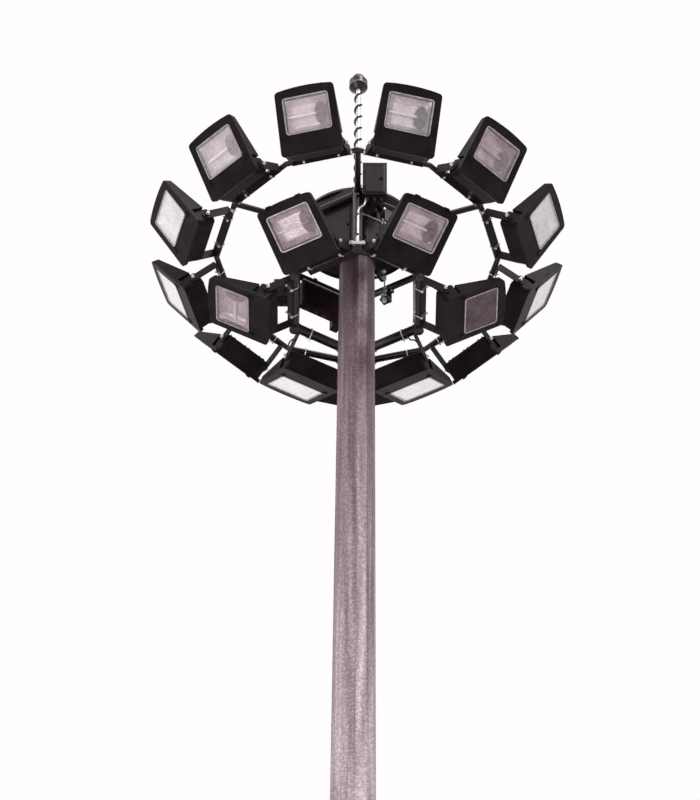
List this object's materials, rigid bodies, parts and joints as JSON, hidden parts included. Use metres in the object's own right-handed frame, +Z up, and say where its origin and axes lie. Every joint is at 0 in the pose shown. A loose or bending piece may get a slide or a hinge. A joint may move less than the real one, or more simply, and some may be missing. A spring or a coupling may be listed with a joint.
{
  "type": "stadium floodlight pylon",
  "caption": "Tall tapered steel mast with a ring carriage of tilting rectangular floodlights, rope head, finial rod and obstruction beacon on a bolted base flange.",
  "frame": {"origin": "centre of the base flange's underside", "axes": "+Z up along the mast, -Y towards the viewer's side, +X to the viewer's right"},
  "size_m": [3.5372, 3.5372, 32.591],
  "materials": {
    "galvanised_steel": "weathered zinc coat",
    "dark_paint": "satin dark paint over zinc",
    "box_paint": "satin dark paint",
    "steel_rope": "greased wire rope",
    "bright_rod": "bright zinc",
    "beacon_glass": "dark red glass",
    "lamp_housing": "near-black paint on cast metal",
    "lamp_glass": "clear toughened glass"
  },
  "bodies": {
    "pylon": {"base_flange": "galvanised_steel", "mast_lower": "galvanised_steel", "mast_middle": "galvanised_steel", "mast_upper": "galvanised_steel", "door_frame": "galvanised_steel", "service_door": "galvanised_steel", "head_frame": "dark_paint", "sheaves": "dark_paint", "hoist_ropes": "steel_rope", "head_cover": "dark_paint", "finial_rod": "bright_rod", "beacon_body": "dark_paint", "beacon_lens": "beacon_glass", "cage_posts": "dark_paint", "upper_hexagon": "dark_paint", "lower_hexagon": "dark_paint", "rope_lugs": "dark_paint", "outer_ring": "dark_paint", "radial_arms": "dark_paint", "control_cabinet": "box_paint", "fuse_box": "box_paint", "feed_box": "box_paint", "outer_stirrups": "dark_paint", "inner_stirrups": "dark_paint"},
    "outer_floodlight_01": {"outer_floodlight_01_housing": "lamp_housing", "outer_floodlight_01_glass": "lamp_glass"},
    "outer_floodlight_02": {"outer_floodlight_02_housing": "lamp_housing", "outer_floodlight_02_glass": "lamp_glass"},
    "outer_floodlight_03": {"outer_floodlight_03_housing": "lamp_housing", "outer_floodlight_03_glass": "lamp_glass"},
    "outer_floodlight_04": {"outer_floodlight_04_housing": "lamp_housing", "outer_floodlight_04_glass": "lamp_glass"},
    "outer_floodlight_05": {"outer_floodlight_05_housing": "lamp_housing", "outer_floodlight_05_glass": "lamp_glass"},
    "outer_floodlight_06": {"outer_floodlight_06_housing": "lamp_housing", "outer_floodlight_06_glass": "lamp_glass"},
    "outer_floodlight_07": {"outer_floodlight_07_housing": "lamp_housing", "outer_floodlight_07_glass": "lamp_glass"},
    "outer_floodlight_08": {"outer_floodlight_08_housing": "lamp_housing", "outer_floodlight_08_glass": "lamp_glass"},
    "outer_floodlight_09": {"outer_floodlight_09_housing": "lamp_housing", "outer_floodlight_09_glass": "lamp_glass"},
    "outer_floodlight_10": {"outer_floodlight_10_housing": "lamp_housing", "outer_floodlight_10_glass": "lamp_glass"},
    "outer_floodlight_11": {"outer_floodlight_11_housing": "lamp_housing", "outer_floodlight_11_glass": "lamp_glass"},
    "outer_floodlight_12": {"outer_floodlight_12_housing": "lamp_housing", "outer_floodlight_12_glass": "lamp_glass"},
    "inner_floodlight_01": {"inner_floodlight_01_housing": "lamp_housing", "inner_floodlight_01_glass": "lamp_glass"},
    "inner_floodlight_02": {"inner_floodlight_02_housing": "lamp_housing", "inner_floodlight_02_glass": "lamp_glass"},
    "inner_floodlight_03": {"inner_floodlight_03_housing": "lamp_housing", "inner_floodlight_03_glass": "lamp_glass"},
    "inner_floodlight_04": {"inner_floodlight_04_housing": "lamp_housing", "inner_floodlight_04_glass": "lamp_glass"},
    "inner_floodlight_05": {"inner_floodlight_05_housing": "lamp_housing", "inner_floodlight_05_glass": "lamp_glass"},
    "inner_floodlight_06": {"inner_floodlight_06_housing": "lamp_housing", "inner_floodlight_06_glass": "lamp_glass"}
  },
  "joints": [
    {"name": "outer_floodlight_01_tilt", "type": "hinge", "parent": "pylon", "child": "outer_floodlight_01", "pos_m": [0.356, -1.32862, 29.95948], "axis": [0.9659, 0.2588, 0], "range_deg": [-30, 30]},
    {"name": "outer_floodlight_02_tilt", "type": "hinge", "parent": "pylon", "child": "outer_floodlight_02", "pos_m": [0.97262, -0.97262, 29.95948], "axis": [0.7071, 0.7071, 0], "range_deg": [-30, 30]},
    {"name": "outer_floodlight_03_tilt", "type": "hinge", "parent": "pylon", "child": "outer_floodlight_03", "pos_m": [1.32862, -0.356, 29.95948], "axis": [0.2588, 0.9659, 0], "range_deg": [-30, 30]},
    {"name": "outer_floodlight_04_tilt", "type": "hinge", "parent": "pylon", "child": "outer_floodlight_04", "pos_m": [1.32862, 0.356, 29.95948], "axis": [-0.2588, 0.9659, 0], "range_deg": [-30, 30]},
    {"name": "outer_floodlight_05_tilt", "type": "hinge", "parent": "pylon", "child": "outer_floodlight_05", "pos_m": [0.97262, 0.97262, 29.95948], "axis": [-0.7071, 0.7071, 0], "range_deg": [-30, 30]},
    {"name": "outer_floodlight_06_tilt", "type": "hinge", "parent": "pylon", "child": "outer_floodlight_06", "pos_m": [0.356, 1.32862, 29.95948], "axis": [-0.9659, 0.2588, 0], "range_deg": [-30, 30]},
    {"name": "outer_floodlight_07_tilt", "type": "hinge", "parent": "pylon", "child": "outer_floodlight_07", "pos_m": [-0.356, 1.32862, 29.95948], "axis": [-0.9659, -0.2588, 0], "range_deg": [-30, 30]},
    {"name": "outer_floodlight_08_tilt", "type": "hinge", "parent": "pylon", "child": "outer_floodlight_08", "pos_m": [-0.97262, 0.97262, 29.95948], "axis": [-0.7071, -0.7071, 0], "range_deg": [-30, 30]},
    {"name": "outer_floodlight_09_tilt", "type": "hinge", "parent": "pylon", "child": "outer_floodlight_09", "pos_m": [-1.32862, 0.356, 29.95948], "axis": [-0.2588, -0.9659, 0], "range_deg": [-30, 30]},
    {"name": "outer_floodlight_10_tilt", "type": "hinge", "parent": "pylon", "child": "outer_floodlight_10", "pos_m": [-1.32862, -0.356, 29.95948], "axis": [0.2588, -0.9659, 0], "range_deg": [-30, 30]},
    {"name": "outer_floodlight_11_tilt", "type": "hinge", "parent": "pylon", "child": "outer_floodlight_11", "pos_m": [-0.97262, -0.97262, 29.95948], "axis": [0.7071, -0.7071, 0], "range_deg": [-30, 30]},
    {"name": "outer_floodlight_12_tilt", "type": "hinge", "parent": "pylon", "child": "outer_floodlight_12", "pos_m": [-0.356, -1.32862, 29.95948], "axis": [0.9659, -0.2588, 0], "range_deg": [-30, 30]},
    {"name": "inner_floodlight_01_tilt", "type": "hinge", "parent": "pylon", "child": "inner_floodlight_01", "pos_m": [0.37233, -0.64489, 29.42448], "axis": [0.866, 0.5, 0], "range_deg": [-30, 30]},
    {"name": "inner_floodlight_02_tilt", "type": "hinge", "parent": "pylon", "child": "inner_floodlight_02", "pos_m": [0.74465, 0, 29.42448], "axis": [0, 1, 0], "range_deg": [-30, 30]},
    {"name": "inner_floodlight_03_tilt", "type": "hinge", "parent": "pylon", "child": "inner_floodlight_03", "pos_m": [0.37233, 0.64489, 29.42448], "axis": [-0.866, 0.5, 0], "range_deg": [-30, 30]},
    {"name": "inner_floodlight_04_tilt", "type": "hinge", "parent": "pylon", "child": "inner_floodlight_04", "pos_m": [-0.37233, 0.64489, 29.42448], "axis": [-0.866, -0.5, 0], "range_deg": [-30, 30]},
    {"name": "inner_floodlight_05_tilt", "type": "hinge", "parent": "pylon", "child": "inner_floodlight_05", "pos_m": [-0.74465, 0, 29.42448], "axis": [0, -1, 0], "range_deg": [-30, 30]},
    {"name": "inner_floodlight_06_tilt", "type": "hinge", "parent": "pylon", "child": "inner_floodlight_06", "pos_m": [-0.37233, -0.64489, 29.42448], "axis": [0.866, -0.5, 0], "range_deg": [-30, 30]}
  ]
}
